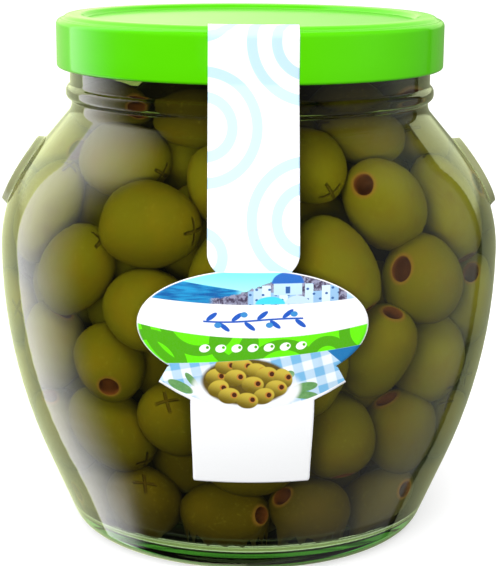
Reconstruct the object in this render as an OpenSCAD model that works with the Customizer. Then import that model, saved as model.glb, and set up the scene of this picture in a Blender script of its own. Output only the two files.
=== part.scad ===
// A belly jar of pitted green olives in brine, with a wide twist-off lid and a paper label whose
// strip runs up over the lid as a seal. Origin at the middle of the jar's foot, +Z up, front -Y.

/* [Glass jar] */
// Radius at the widest part of the belly
belly_r = 74; // [70:0.5:89]
// Radius at which the heel would meet the table as a sharp corner
heel_r = 51.9; // [43:0.1:62]
// Height from the table to the bend of the lower wall
lower_h = 52.6; // [43:0.1:64]
// Height from the lower bend to the bend of the shoulder
waist_h = 48.6; // [40:0.1:60]
// Height from the shoulder bend to the throat
shoulder_h = 25.2; // [20:0.1:31]
// Height from the throat to the rim
neck_h = 26.6; // [24:0.1:33]
// Radius of the neck behind the lid
neck_r = 53; // [44:0.1:63]
// Thickness of the glass in the belly and shoulder
wall = 3.2; // [2:0.1:5]
// Thickness of the glass at the rim
rim_w = 3.3; // [2.6:0.1:5]
// Height of the push-up under the foot
punt_h = 4; // [1:0.1:6]
// Radius of the push-up
punt_r = 38; // [30:0.1:39]
// Thickness of the floor over the push-up
floor_t = 5; // [3:0.1:8]

/* [Curves of the jar] */
// How far the heel's curve reaches from its corner
heel_reach = 5.3; // [2:0.1:7]
// How far the belly's curve reaches from the lower bend
belly_reach = 32; // [20:0.5:40]
// How far the shoulder's curve reaches from its bend
shoulder_reach = 16; // [8:0.5:20]
// How far the throat's curve reaches from its corner
throat_reach = 1.6; // [0.6:0.1:2.4]

/* [Neck ring and side medallions] */
// Height of the ring round the neck
bead_h = 4.8; // [3:0.1:6]
// How far the ring stands out from the neck
bead_out = 1.2; // [0.5:0.1:2]
// Height of the ring's lower edge above the throat
bead_up = 2.4; // [2:0.1:4]
// Radius of each medallion
medal_r = 11.4; // [8:0.1:12.5]
// How far a medallion's face stands out from the shoulder
medal_out = 2; // [1.4:0.1:3]
// Width of the raised border round a medallion
medal_rim = 1.6; // [1:0.1:3]
// Depth of a medallion's face below its border
medal_dish = 0.8; // [0.3:0.1:1.2]
// Angle up the shoulder's curve at which each medallion sits
medal_up = 31; // [22:1:36]
// Upward tilt of a medallion's face
medal_tilt = 27; // [20:1:36]

/* [Lid] */
// Height of the lid
lid_h = 15.2; // [14:0.1:18]
// Thickness of the lid's steel
steel_t = 0.3; // [0.2:0.05:0.6]
// Room between the glass threads and the lid's skirt
skirt_gap = 1.4; // [1:0.1:2]
// Gap that the sealing compound fills between rim and lid
seal_gap = 0.3; // [0.1:0.05:0.6]
// Depth of the panel below the crest of the lid
panel_drop = 1.3; // [0.8:0.1:2]
// Radius of the curl along the lid's lower edge
curl_r = 0.9; // [0.6:0.1:1.2]
// Number of lugs, and of threads on the glass
lugs = 6; // [4:1:8]

/* [Threads] */
// How far a thread stands out from the neck
thread_out = 2; // [1.4:0.1:2.4]
// Height of a thread
thread_h = 1.8; // [1.2:0.1:2.4]
// Clearance between a lug and the thread above it
lug_gap = 0.15; // [0.1:0.05:0.4]

/* [Filling] */
// Depth of the brine's surface below the rim
headspace = 13.5; // [8:0.5:18]
// Clearance between the filling and the glass
fill_gap = 0.1; // [0.05:0.05:0.3]

/* [Label] */
// Thickness of the paper
paper_t = 0.25; // [0.1:0.05:0.5]
// Thickness of the glue under the paper
glue_t = 0.05; // [0.05:0.05:0.2]
// Width of the strip that seals the lid
strip_w = 24; // [16:0.5:30]
// How far the strip runs in over the lid from its edge
strip_over = 17; // [12:0.5:24]
// Height of the strip's lower end
strip_end_z = 91; // [80:0.5:96]
// Radius of the corners at the strip's lower end
strip_corner = 6; // [2:0.5:8]
// Width of the oval picture
oval_w = 61; // [50:0.5:72]
// Height of the oval picture
oval_h = 31.6; // [24:0.1:38]
// Height of the oval's middle
oval_z = 77.2; // [66:0.1:86]
// Width across the points of the tablecloth's edge
cloth_w = 49.6; // [40:0.1:56]
// Height of those points
cloth_z = 61.4; // [52:0.1:66]
// Width of the lower panel
panel_w = 32.8; // [26:0.1:40]
// Height of the lower panel's bottom edge
panel_z = 31.5; // [28:0.1:40]
// How much narrower the lower panel is at its bottom than at its middle
panel_taper = 1.2; // [0:0.1:3]

/* [Hidden] */
$fn = 96;
curve_tol = 0.03;         // most that a chord may cut into a curve
ring_reach = 1.4;         // curve of the bearing ring's inner edge
bead_reach = 0.9;         // curves of the neck ring
rim_reach = 1.3;          // curves of the rim
thread_taper = 0.5;       // slope of a thread's flanks
thread_arc = 44;          // degrees that one thread runs round the neck
thread_up = 0.6;          // room under a lug down to the lid's lower edge
lug_arc = 12;             // degrees that one lug is wide
lug_t = 0.9;              // height of a lug
lug_in = 1.1;             // how far a lug reaches under its thread
crease_drop = 1.1;        // depth of the crease round the lid below its crest
edge_drop = 1.5;          // depth below the crest at which the skirt's edge would be sharp
fold_reach = 0.5;         // curves of the panel's foot and of the crease
crest_reach = 0.7;        // curves of the crest
edge_reach = 1.3;         // curve of the skirt's edge
floor_reach = 12;         // curve of the inner floor round the push-up
edge = 0.01;              // overlap that keeps touching cuts clean

// The belly's two curves share the waist, so they are drawn in where it is too short for both
flat_waist = 0.4;         // least height of the upright band between the two curves
curve_share = min(1, (waist_h - flat_waist) / (belly_reach + shoulder_reach));
low_reach = belly_reach * curve_share;
top_reach = shoulder_reach * curve_share;

throat_z = lower_h + waist_h + shoulder_h;
rim_z = throat_z + neck_h;
throat_r = neck_r - 0.4;
bore_r = neck_r - rim_w;
bead_lo = throat_z + bead_up;
bead_hi = bead_lo + bead_h;
bead_r = neck_r + bead_out;
ring_in_r = punt_r + 5;
floor_z = punt_h + floor_t;
brine_z = rim_z - headspace;

lid_top = rim_z + seal_gap + steel_t;
lid_low = lid_top - lid_h;
thread_r = neck_r + thread_out;
lid_r = thread_r + skirt_gap + steel_t;
lug_z = lid_low + thread_up;
thread_z = lug_z + lug_t + lug_gap;
crest_in_r = bore_r - seal_gap;
crest_out_r = neck_r + 2 * steel_t;
crease_r = crest_out_r + crease_drop + fold_reach / 2;

// ---- corners and curves -------------------------------------------------------------------
// A corner is [radius, height, curve]. A curve is first the reach from the corner to where the
// bend starts, and round_corners turns it into the radius of the bend.

function spot(c) = [c[0], c[1]];
function unit(v) = v / norm(v);
function inner_half(p, q, s) = acos(unit(spot(p) - spot(q)) * unit(spot(s) - spot(q))) / 2;
function round_corners(c) = [for (i = [0:len(c) - 1])
    i == 0 || i == len(c) - 1 || c[i][2] == 0 ? [c[i][0], c[i][1], 0]
    : [c[i][0], c[i][1], c[i][2] * tan(inner_half(c[i - 1], c[i], c[i + 1]))]];

// Points round one bend from its start to its end
function bend(p, q, s, rad) =
    let (a = unit(spot(p) - spot(q)), b = unit(spot(s) - spot(q)), half = acos(a * b) / 2,
         mid = spot(q) + unit(a + b) * rad / sin(half),
         from = spot(q) + a * rad / tan(half) - mid, to = spot(q) + b * rad / tan(half) - mid,
         turn = atan2(cross(from, to), from * to), start = atan2(from[1], from[0]),
         n = max(2, ceil(abs(turn) / (2 * acos(1 - min(curve_tol / rad, 0.1))))))
    [for (i = [0:n]) mid + rad * [cos(start + turn * i / n), sin(start + turn * i / n)]];

// The whole line through a list of rounded corners
function line_of(c) = [for (i = [0:len(c) - 1])
    each (c[i][2] == 0 ? [spot(c[i])] : bend(c[i - 1], c[i], c[i + 1], c[i][2]))];

// The same corners moved sideways: to the left of the way the list runs when gap is positive
function left_of(p, q) = let (d = unit(spot(q) - spot(p))) [-d[1], d[0]];
function shifted(c, gap) = [for (i = [0:len(c) - 1])
    let (m = i == 0 ? left_of(c[0], c[1]) : left_of(c[i - 1], c[i]),
         n = i == len(c) - 1 ? m : left_of(c[i], c[i + 1]),
         to = spot(c[i]) + gap * (m + n) / (1 + m * n))
    [to[0], to[1], c[i][2] == 0 ? 0 : max(0.05, c[i][2] - gap * sign(cross(m, n)))]];

function backwards(list) = [for (i = [len(list) - 1:-1:0]) list[i]];

// Height on the straight line through p and q at a given radius, and radius at a given height
function height_at(p, q, r) = p[1] + (r - p[0]) * (q[1] - p[1]) / (q[0] - p[0]);
function radius_at(p, q, z) = p[0] + (z - p[1]) * (q[0] - p[0]) / (q[1] - p[1]);

// ---- glass jar ----------------------------------------------------------------------------
// Outside of the glass, from the middle of the foot out, up the belly and neck to the rim
outside = round_corners([
    [0, punt_h, 0],
    [punt_r, punt_h, ring_reach],
    [ring_in_r, 0, ring_reach],
    [heel_r, 0, heel_reach],
    [belly_r, lower_h, low_reach],
    [belly_r, lower_h + waist_h, top_reach],
    [throat_r, throat_z, throat_reach],
    [throat_r, bead_lo, bead_reach / 2],
    [bead_r, bead_lo + bead_out, bead_reach],
    [bead_r, bead_hi - bead_out, bead_reach],
    [neck_r, bead_hi, bead_reach / 2],
    [neck_r, rim_z, rim_reach],
    [bore_r, rim_z, rim_reach],
    [bore_r, rim_z - 2 * rim_reach, 0]]);
HEEL = 3;
LOWER = 4;
UPPER = 5;
THROAT = 6;

// Inside of the glass, kept one wall away from the outside, up to a given height
in_wall = shifted([for (i = [HEEL:THROAT]) outside[i]], wall);
in_heel_z = floor_z - punt_h / 2;
in_heel_r = radius_at(in_wall[0], in_wall[1], in_heel_z);
function inside(top_z) = [
    [0, floor_z, 0],
    [punt_r, floor_z, floor_reach],
    [in_heel_r, in_heel_z, heel_reach],
    in_wall[1],
    in_wall[2],
    [bore_r, height_at(in_wall[2], in_wall[3], bore_r), 4 * throat_reach],
    [bore_r, top_z, 0]];

// The closed shape between a line and the jar's axis
module turned_solid(path) {
    last = path[len(path) - 1];
    rotate_extrude() polygon(concat(path, [[0, last[1]]]));
}

// The shoulder's curve is a circle round bend_mid. A medallion's axis starts on this circle.
bend_r = outside[UPPER][2];
bend_mid = [belly_r - bend_r, lower_h + waist_h - top_reach];
medal_at = bend_mid + bend_r * [cos(medal_up), sin(medal_up)];
medal_sink = wall * 0.75;
medal_face = medal_out - medal_dish;
medal_round = medal_rim / 3;

module medallion() {
    translate([medal_at[0], 0, medal_at[1]]) rotate([0, 90 - medal_tilt, 0])
        rotate_extrude() polygon([
            [0, -medal_sink], [medal_r, -medal_sink], [medal_r, medal_out - medal_round],
            [medal_r - medal_round, medal_out], [medal_r - medal_rim, medal_out],
            [medal_r - medal_rim - medal_dish, medal_face], [0, medal_face]]);
}

module thread() {
    rotate_extrude(angle = thread_arc) polygon([
        [neck_r - edge, thread_z], [thread_r, thread_z + thread_taper],
        [thread_r, thread_z + thread_h - thread_taper], [neck_r - edge, thread_z + thread_h]]);
}

module glass_jar() {
    color([0.82, 0.93, 0.84, 0.45]) difference() {
        union() {
            turned_solid(line_of(outside));
            for (side = [0, 180]) rotate([0, 0, side]) medallion();
            for (i = [0:lugs - 1]) rotate([0, 0, i * 360 / lugs]) thread();
        }
        turned_solid(line_of(inside(rim_z + 1)));
    }
}

// ---- lid ----------------------------------------------------------------------------------
// Outside of the pressed steel, from the middle of the panel over the crest and down the skirt
lid_outside = round_corners([
    [0, lid_top - panel_drop, 0],
    [crest_in_r - panel_drop, lid_top - panel_drop, fold_reach],
    [crest_in_r, lid_top, crest_reach],
    [crest_out_r, lid_top, crest_reach],
    [crease_r, lid_top - crease_drop, fold_reach],
    [lid_r, lid_top - edge_drop, edge_reach],
    [lid_r, lid_low + curl_r, 0]]);
lid_inside = shifted(lid_outside, -steel_t);

module lid_shell() {
    rotate_extrude() polygon(concat(line_of(lid_outside), backwards(line_of(lid_inside))));
}

module curl() {
    rotate_extrude() translate([lid_r - curl_r, lid_low + curl_r]) circle(r = curl_r, $fn = 32);
}

module lug() {
    rotate([0, 0, (thread_arc - lug_arc) / 2]) rotate_extrude(angle = lug_arc)
        translate([thread_r - lug_in, lug_z]) square([lid_r - curl_r - thread_r + lug_in, lug_t]);
}

module lid() {
    color([0.35, 0.9, 0.02]) union() {
        lid_shell();
        curl();
        for (i = [0:lugs - 1]) rotate([0, 0, i * 360 / lugs]) lug();
    }
}

// ---- filling ------------------------------------------------------------------------------
module olives_in_brine() {
    color([0.45, 0.42, 0.06])
        turned_solid(line_of(shifted(inside(brine_z - fill_gap), fill_gap)));
}

// ---- label --------------------------------------------------------------------------------
// The strip hangs straight from the lid's lower edge to where it first touches the shoulder.
// touch_z is the height at which that straight line would meet the upright line of the belly.
function touch_z(gap) =
    let (hang = [lid_r + gap, lid_low] - bend_mid, far = norm(hang), rad = bend_r + gap,
         turn = atan2(hang[1], hang[0]) - acos(rad / far),
         touch = bend_mid + rad * [cos(turn), sin(turn)])
    height_at([lid_r + gap, lid_low], touch, belly_r + gap);

// One face of the paper, from the lid's panel over the edge and down the belly, gap off the parts
strip_in_r = lid_r - strip_over;
strip_spare = 5;          // the face runs on this far past the strip's end, which is cut later
function label_face(gap) =
    let (over = shifted(lid_outside, gap), down = shifted([for (i = [HEEL:THROAT]) outside[i]], -gap))
    line_of(concat(
        [[strip_in_r - strip_spare, over[0][1], 0]],
        [for (i = [1:len(over) - 2]) over[i]],
        [[lid_r + gap, lid_low, 0], [belly_r + gap, touch_z(gap), bend_r + gap]],
        [down[1], [down[0][0], down[0][1], 0]]));

module label_shell() {
    rotate_extrude() polygon(concat(label_face(glue_t + paper_t), backwards(label_face(glue_t))));
}

// The picture's edge is an oval
oval_sides = 72;
oval_edge = [for (i = [0:oval_sides - 1])
    [oval_w / 2 * cos(360 * i / oval_sides), oval_z + oval_h / 2 * sin(360 * i / oval_sides)]];

// The strip has round corners at its lower end, half hidden by the oval
strip_top = lid_top + 2;
strip_edge = round_corners([
    [0, strip_top, 0],
    [-strip_w / 2, strip_top, 0],
    [-strip_w / 2, strip_end_z, strip_corner],
    [strip_w / 2, strip_end_z, strip_corner],
    [strip_w / 2, strip_top, 0],
    [0, strip_top, 0]]);

// The tablecloth ends in a point on each side, between the oval and the lower panel
cloth_rise = 4.6;         // height of the cloth's upper edge above its points
cloth_in = 2.4;           // how much narrower the cloth is at its upper edge
cloth_sag = 2.8;          // drop from the points to the cloth's lower bend
cloth_foot = 3.4;         // how far that bend stands out from the lower panel
cloth_tuck = 1.6;         // drop from that bend to the lower panel's side
function cloth_side(side) = [
    [side * (cloth_w / 2 - cloth_in), cloth_z + cloth_rise],
    [side * cloth_w / 2, cloth_z],
    [side * (panel_w / 2 + cloth_foot), cloth_z - cloth_sag],
    [side * panel_w / 2, cloth_z - cloth_sag - cloth_tuck]];

// The lower panel bulges slightly at the middle of its height and has round bottom corners
panel_top = cloth_z - cloth_sag;
panel_mid = (panel_z + panel_top) / 2;
panel_low_w = panel_w / 2 - panel_taper / 2;
panel_corner = 1.6;
panel_bulge = 8;          // how far the bulge's curve reaches up and down each side
panel_edge = round_corners([
    [0, panel_top, 0],
    [-panel_w / 2, panel_top, 0],
    [-panel_w / 2, panel_mid, panel_bulge],
    [-panel_low_w, panel_z, panel_corner],
    [panel_low_w, panel_z, panel_corner],
    [panel_w / 2, panel_mid, panel_bulge],
    [panel_w / 2, panel_top, 0],
    [0, panel_top, 0]]);

// Front view of the cut label
module label_outline() {
    polygon(line_of(strip_edge));
    polygon(oval_edge);
    polygon(concat(cloth_side(-1), backwards(cloth_side(1))));
    polygon(line_of(panel_edge));
}

module label() {
    color([0.97, 0.98, 1]) intersection() {
        label_shell();
        translate([0, -strip_in_r, 0]) rotate([90, 0, 0])
            linear_extrude(height = belly_r) label_outline();
    }
}

glass_jar();
lid();
olives_in_brine();
label();
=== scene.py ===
import math
import bmesh
import bpy
import numpy as np
from mathutils import Matrix, Vector


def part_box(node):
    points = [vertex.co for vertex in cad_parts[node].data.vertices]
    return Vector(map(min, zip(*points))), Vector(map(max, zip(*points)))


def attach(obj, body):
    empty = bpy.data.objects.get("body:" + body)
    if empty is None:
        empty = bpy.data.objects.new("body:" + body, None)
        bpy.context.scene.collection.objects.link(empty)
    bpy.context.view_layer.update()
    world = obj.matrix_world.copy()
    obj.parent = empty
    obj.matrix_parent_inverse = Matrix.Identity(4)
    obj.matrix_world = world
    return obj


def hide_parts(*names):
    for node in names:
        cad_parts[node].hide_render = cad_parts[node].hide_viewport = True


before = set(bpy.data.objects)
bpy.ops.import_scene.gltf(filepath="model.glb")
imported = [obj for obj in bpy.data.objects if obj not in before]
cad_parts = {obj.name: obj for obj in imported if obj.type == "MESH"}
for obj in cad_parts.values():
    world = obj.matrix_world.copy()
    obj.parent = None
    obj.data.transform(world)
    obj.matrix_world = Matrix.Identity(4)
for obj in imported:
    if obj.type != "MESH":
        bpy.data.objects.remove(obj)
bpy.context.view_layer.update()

# ---- camera -------------------------------------------------------------------------------------
# A long lens about half a metre in front of the jar, a little above the lid and looking slightly
# down, so that the lid's top shows as a thin sliver and the label faces the viewer.
MM = 0.001
camera_away = 480.8
camera_high = 183.6
camera_heading = math.radians(-1.0)
camera_aside = math.radians(0.053)
camera_pitch = math.radians(13.01)
camera_lean = math.radians(0.4)
camera_x = camera_away * math.sin(camera_heading)
camera_y = -camera_away * math.cos(camera_heading)
camera_place = Vector((camera_x, camera_y, camera_high)) * MM
camera_turn = Matrix.Rotation(camera_heading - camera_aside, 4, "Z")
camera_tip = Matrix.Rotation(math.pi / 2 - camera_pitch, 4, "X")
camera_roll = Matrix.Rotation(camera_lean, 4, "Z")
lens = bpy.data.cameras.new("long_lens")
lens.lens = 103.1
lens.sensor_width = 36.0
lens.clip_end = 100.0
camera = bpy.data.objects.new("camera", lens)
bpy.context.scene.collection.objects.link(camera)
camera.matrix_world = Matrix.Translation(camera_place) @ camera_turn @ camera_tip @ camera_roll
bpy.context.scene.camera = camera
bpy.context.scene.view_settings.view_transform = "Standard"


# ---- studio -------------------------------------------------------------------------------------
# A wide pale floor under soft light: one large soft box high in front, a tall bright panel far to
# the left and a dim one to the right, which the glass and the lid mirror, and a bright backdrop.
class Term:
    """One output of a node, on which plain arithmetic adds Math nodes."""

    def __init__(self, tree, socket):
        self.tree = tree
        self.socket = socket

    def math(self, how, *values):
        node = self.tree.nodes.new("ShaderNodeMath")
        node.operation = how
        for socket, value in zip(node.inputs, values):
            plug(self.tree, value, socket)
        return Term(self.tree, node.outputs[0])

    def __add__(self, other):
        return self.math("ADD", self, other)

    def __radd__(self, other):
        return self.math("ADD", other, self)

    def __sub__(self, other):
        return self.math("SUBTRACT", self, other)

    def __rsub__(self, other):
        return self.math("SUBTRACT", other, self)

    def __mul__(self, other):
        return self.math("MULTIPLY", self, other)

    def __rmul__(self, other):
        return self.math("MULTIPLY", other, self)

    def __truediv__(self, other):
        return self.math("DIVIDE", self, other)

    def __neg__(self):
        return self.math("MULTIPLY", self, -1.0)

    def __abs__(self):
        return self.math("ABSOLUTE", self)

    def __or__(self, other):
        return self.math("MAXIMUM", self, other)

    def __and__(self, other):
        return self.math("MINIMUM", self, other)

    def times_plus(self, factor, addend):
        return self.math("MULTIPLY_ADD", self, factor, addend)

    def root(self):
        return self.math("SQRT", self)

    def wave(self):
        return self.math("SINE", self)

    def rise(self, low, high):
        """0 below low, 1 above high, and smooth between. It falls where low is the larger."""
        node = self.tree.nodes.new("ShaderNodeMapRange")
        node.interpolation_type = "SMOOTHSTEP"
        plug(self.tree, self, node.inputs[0])
        node.inputs[1].default_value = min(low, high)
        node.inputs[2].default_value = max(low, high)
        node.inputs[3].default_value = 0.0 if low < high else 1.0
        node.inputs[4].default_value = 1.0 if low < high else 0.0
        return Term(self.tree, node.outputs[0])


def plug(tree, value, socket):
    if isinstance(value, Term):
        tree.links.new(value.socket, socket)
    else:
        socket.default_value = value


class Nodes:
    """A node tree, to which one method adds nodes of any kind."""

    def __init__(self, tree):
        self.tree = tree

    def add(self, kind, settings, values, out=0):
        node = self.tree.nodes.new(kind)
        for name, setting in settings.items():
            setattr(node, name, setting)
        for name, value in values.items():
            plug(self.tree, value, node.inputs[name])
        return Term(self.tree, node.outputs[out]) if len(node.outputs) else None


class Shader(Nodes):
    """The node tree of a material or of the world."""

    def __init__(self, owner):
        owner.use_nodes = True
        super().__init__(owner.node_tree)
        self.owner = owner
        self.tree.nodes.clear()

    def mix(self, share, under, over):
        """The colour under, covered by the colour over as far as share says."""
        return self.add("ShaderNodeMix", {"data_type": "RGBA"}, {0: share, 6: under, 7: over}, 2)

    def noise(self, where, scale, detail=2.0, rough=0.5):
        return self.add("ShaderNodeTexNoise", {}, {
            "Vector": where, "Scale": scale, "Detail": detail, "Roughness": rough})

    def spot(self, kind="Object"):
        return self.add("ShaderNodeTexCoord", {}, {}, kind)

    def attribute(self, name, out="Fac"):
        return self.add("ShaderNodeAttribute", {"attribute_name": name}, {}, out)

    def bump(self, height, reach, strength=1.0):
        return self.add("ShaderNodeBump", {}, {"Height": height, "Distance": reach, "Strength": strength})

    def axes(self, where):
        first = self.add("ShaderNodeSeparateXYZ", {}, {0: where})
        return [Term(self.tree, socket) for socket in first.socket.node.outputs]

    def surface(self, shading):
        self.add("ShaderNodeOutputMaterial", {}, {"Surface": shading})
        return self.owner


def ink(red, green, blue):
    """A colour given as it looks on a screen, 0 to 255."""
    parts = [part / 255 for part in (red, green, blue)]
    return [p / 12.92 if p <= 0.04045 else ((p + 0.055) / 1.055) ** 2.4 for p in parts] + [1.0]


weld = 0.002 * MM


def mesh_object(name, points, faces, material):
    mesh = bpy.data.meshes.new(name)
    mesh.from_pydata([tuple(p) for p in points], [], faces)
    mesh.validate()
    body = bmesh.new()
    body.from_mesh(mesh)
    bmesh.ops.remove_doubles(body, verts=body.verts, dist=weld)
    bmesh.ops.recalc_face_normals(body, faces=body.faces)
    body.to_mesh(mesh)
    body.free()
    for face in mesh.polygons:
        face.use_smooth = True
    if material:
        mesh.materials.append(material)
    thing = bpy.data.objects.new(name, mesh)
    bpy.context.scene.collection.objects.link(thing)
    return thing


floor_half = 12.0
floor_shader = Shader(bpy.data.materials.new("pale_floor"))
floor_spot = floor_shader.spot()
floor_fleck = floor_shader.noise(floor_spot, 40.0)
floor_colour = floor_shader.mix(floor_fleck, ink(246, 246, 246), ink(250, 250, 250))
floor_paint = floor_shader.surface(floor_shader.add("ShaderNodeBsdfPrincipled", {}, {
    "Base Color": floor_colour, "Roughness": 0.9, "Specular IOR Level": 0.0,
    "Emission Color": (1.0, 1.0, 1.0, 1.0), "Emission Strength": 0.25}))
floor_corners = [(x * floor_half, y * floor_half, 0) for x, y in ((-1, -1), (1, -1), (1, 1), (-1, 1))]
floor = mesh_object("studio_floor", floor_corners, [(0, 1, 2, 3)], floor_paint)
floor.visible_glossy = False
floor.visible_diffuse = False
floor.visible_transmission = False

# The world: white as seen straight on or through glass, a soft sky as light, panels in reflections.
# Panels and backdrop are bounded by how far front, left, right or up a ray goes. They are tinted
# yellow-green, which brings colour to the glass's edges.
seen_bright = 1.02
left_bright = 3.4
right_bright = 0.24
room_bright = 0.02
deep_bright = 0.6
world = bpy.data.worlds.new("studio")
bpy.context.scene.world = world
sky = Shader(world)
way = sky.spot("Generated")
way_x, way_y, way_z = sky.axes(way)
level = (way_x * way_x + way_y * way_y).root() | 0.001
front = -(way_y / level)
right = way_x / level
left = -right
behind = front.rise(-0.655, -0.675) * (way_z.rise(0.02, 0.12) * 1.2 + left.rise(-0.1, 0.1) * 0.8 + 0.45)
soft_edge = way_z.rise(0.93, 0.86) * way_z.rise(-0.82, -0.76)
left_panel = left.rise(0.0, 0.35) * front.rise(0.18, -0.66) * front.rise(-0.69, -0.66) * soft_edge
right_panel = right.rise(0.30, 0.95) * front.rise(-0.60, -0.56) * way_z.rise(0.9, 0.3)
mirrored = (left_panel * left_bright + right_panel * right_bright + room_bright) | behind
daylight = way_z.rise(-0.35, 0.75) * 0.95 + 0.10
mirror_depth = sky.add("ShaderNodeLightPath", {}, {}, "Glossy Depth")
is_diffuse = sky.add("ShaderNodeLightPath", {}, {}, "Diffuse Depth") & 1.0
is_mirror = (mirror_depth & 1.0) * (1.0 - is_diffuse)
inside_glass = sky.add("ShaderNodeLightPath", {}, {}, "Transmission Depth") & 1.0
bounced = front.rise(0.2, -0.5) * 0.5 + 0.03
mirrored = mirrored * (1.0 - inside_glass) + bounced * inside_glass
deep = mirror_depth.rise(1.4, 1.6)
mirrored = mirrored * (1.0 - deep) + deep * deep_bright
strength = (1.0 - is_diffuse - is_mirror) * seen_bright + is_diffuse * daylight + is_mirror * mirrored
cards = sky.mix(is_mirror * behind.rise(0.0, 0.3), ink(255, 255, 255), ink(240, 250, 200))
backdrop = sky.add("ShaderNodeBackground", {}, {"Color": cards, "Strength": strength})
sky.add("ShaderNodeOutputWorld", {}, {"Surface": backdrop})


def soft_box(name, place, aim, wide, high, power):
    lamp = bpy.data.lights.new(name, "AREA")
    lamp.shape = "RECTANGLE"
    lamp.size = wide
    lamp.size_y = high
    lamp.energy = power
    thing = bpy.data.objects.new(name, lamp)
    bpy.context.scene.collection.objects.link(thing)
    thing.location = place
    thing.rotation_euler = (Vector(place) - Vector(aim)).to_track_quat("Z", "Y").to_euler()
    thing.visible_camera = False
    thing.visible_glossy = False
    thing.visible_transmission = False
    return thing


soft_box("key_box", (-0.35, -0.95, 1.15), (0, 0, 0.08), 0.7, 0.7, 8.0)
soft_box("front_box", (-0.15, -1.0, 0.16), (0, 0, 0.06), 0.8, 0.25, 5.4)
soft_box("left_box", (-1.1, -0.10, 0.35), (0, 0, 0.08), 0.6, 0.8, 4.5)
soft_box("right_box", (1.1, -0.35, 0.40), (0, 0, 0.08), 0.5, 0.8, 4.0)

# ---- glass jar ----------------------------------------------------------------------------------
# A wide pot-bellied jar of clear, slightly green pressed glass with a domed foot, a bead round the
# neck, a screw finish under the lid, and a round moulded medallion on each side of the shoulder.
jar_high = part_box("glass_jar")[1]
rim_z = jar_high.z / MM
belly_r = jar_high.y / MM
wall = 3.2
punt_z = 4.0
punt_r = 38.0
inner_floor_z = 9.0
bore_r = 49.7
neck_r = 53.0
throat_r = 52.6
neck_h = 26.6
throat_z = rim_z - neck_h
bead_z = throat_z + 2.4
bead_r = 54.2
bore_end_z = rim_z - 3


def rounded(corners, step=5.0):
    """Points along a line of [r, z, reach] corners, each rounded off over its reach."""
    points = []
    for i, (r, z, reach) in enumerate(corners):
        if reach == 0 or i in (0, len(corners) - 1):
            points.append((r, z))
            continue
        here = np.array([r, z])
        back = np.array(corners[i - 1][:2]) - here
        on = np.array(corners[i + 1][:2]) - here
        back = back / np.linalg.norm(back)
        on = on / np.linalg.norm(on)
        half = math.acos(max(-1.0, min(1.0, float(back @ on)))) / 2
        radius = reach * math.tan(half)
        middle = here + (back + on) / np.linalg.norm(back + on) * radius / math.sin(half)
        start = here + back * reach - middle
        turn = math.pi - 2 * half
        side = 1.0 if back[0] * on[1] - back[1] * on[0] < 0 else -1.0
        steps = max(3, round(math.degrees(turn) / step))
        for k in range(steps + 1):
            a = side * turn * k / steps
            points.append((middle[0] + start[0] * math.cos(a) - start[1] * math.sin(a),
                           middle[1] + start[0] * math.sin(a) + start[1] * math.cos(a)))
    return points


def even(points, step):
    """The same line with no stretch longer than step."""
    line = [points[0]]
    for p, q in zip(points, points[1:]):
        count = max(1, math.ceil(math.dist(p, q) / step))
        line += [(p[0] + (q[0] - p[0]) * k / count, p[1] + (q[1] - p[1]) * k / count)
                 for k in range(1, count + 1)]
    return line


def beside(points, gap):
    """The line kept gap to its left."""
    line = np.array(points)
    way = np.gradient(line, axis=0)
    way = way / np.maximum(np.linalg.norm(way, axis=1, keepdims=True), 1e-9)
    return [tuple(p) for p in line + gap * np.stack([-way[:, 1], way[:, 0]], axis=1)]


def turned(path, azimuths):
    """Points and faces of a line turned round the upright axis; its ends may lie on the axis."""
    ring = len(azimuths)
    points = [(r * math.cos(a) * MM, r * math.sin(a) * MM, z * MM) for r, z in path for a in azimuths]
    faces = []
    for i in range(len(path) - 1):
        for k in range(ring):
            n = (k + 1) % ring
            quad = [i * ring + k, i * ring + n, (i + 1) * ring + n, (i + 1) * ring + k]
            if path[i][0] < 1e-6:
                quad = [i * ring, quad[2], quad[3]]
            elif path[i + 1][0] < 1e-6:
                quad = [quad[0], quad[1], (i + 1) * ring]
            faces.append(tuple(quad))
    return points, faces


heel_corners = [[43, 0, 1.4], [51.9, 0, 5.3], [belly_r, 52.6, 32], [belly_r, 101.2, 16],
                [throat_r, throat_z, 1.6]]
outer_line = rounded([[0, punt_z, 0], [punt_r, punt_z, 1.4]] + heel_corners + [
    [throat_r, bead_z, 0.45], [bead_r, bead_z + 1.2, 0.9], [bead_r, bead_z + 3.6, 0.9],
    [neck_r, bead_z + 4.8, 0.45], [neck_r, rim_z, 1.3], [bore_r, rim_z, 1.3], [bore_r, bore_end_z, 0]], 2.0)
body_line = rounded([[punt_r, punt_z, 0]] + heel_corners + [[throat_r, rim_z, 0]], 0.8)
body_inner = [p for p in beside(even(body_line, 1.5), wall) if p[1] > 6.5 and p[0] > bore_r]
heel_in = [p for p in body_inner if p[1] < 40]
shoulder_top = max(z for r, z in body_inner)
inner_line = rounded([[0, inner_floor_z, 0], [punt_r, inner_floor_z, 12],
                      [heel_in[0][0] - 3.2, heel_in[0][1] - 0.4, 3.0], [heel_in[3][0], heel_in[3][1], 0]])
inner_line = inner_line + [p for p in body_inner if p[1] > heel_in[3][1]]
inner_line = inner_line + [(bore_r, shoulder_top + 1.5), (bore_r, bore_end_z)]

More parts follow.
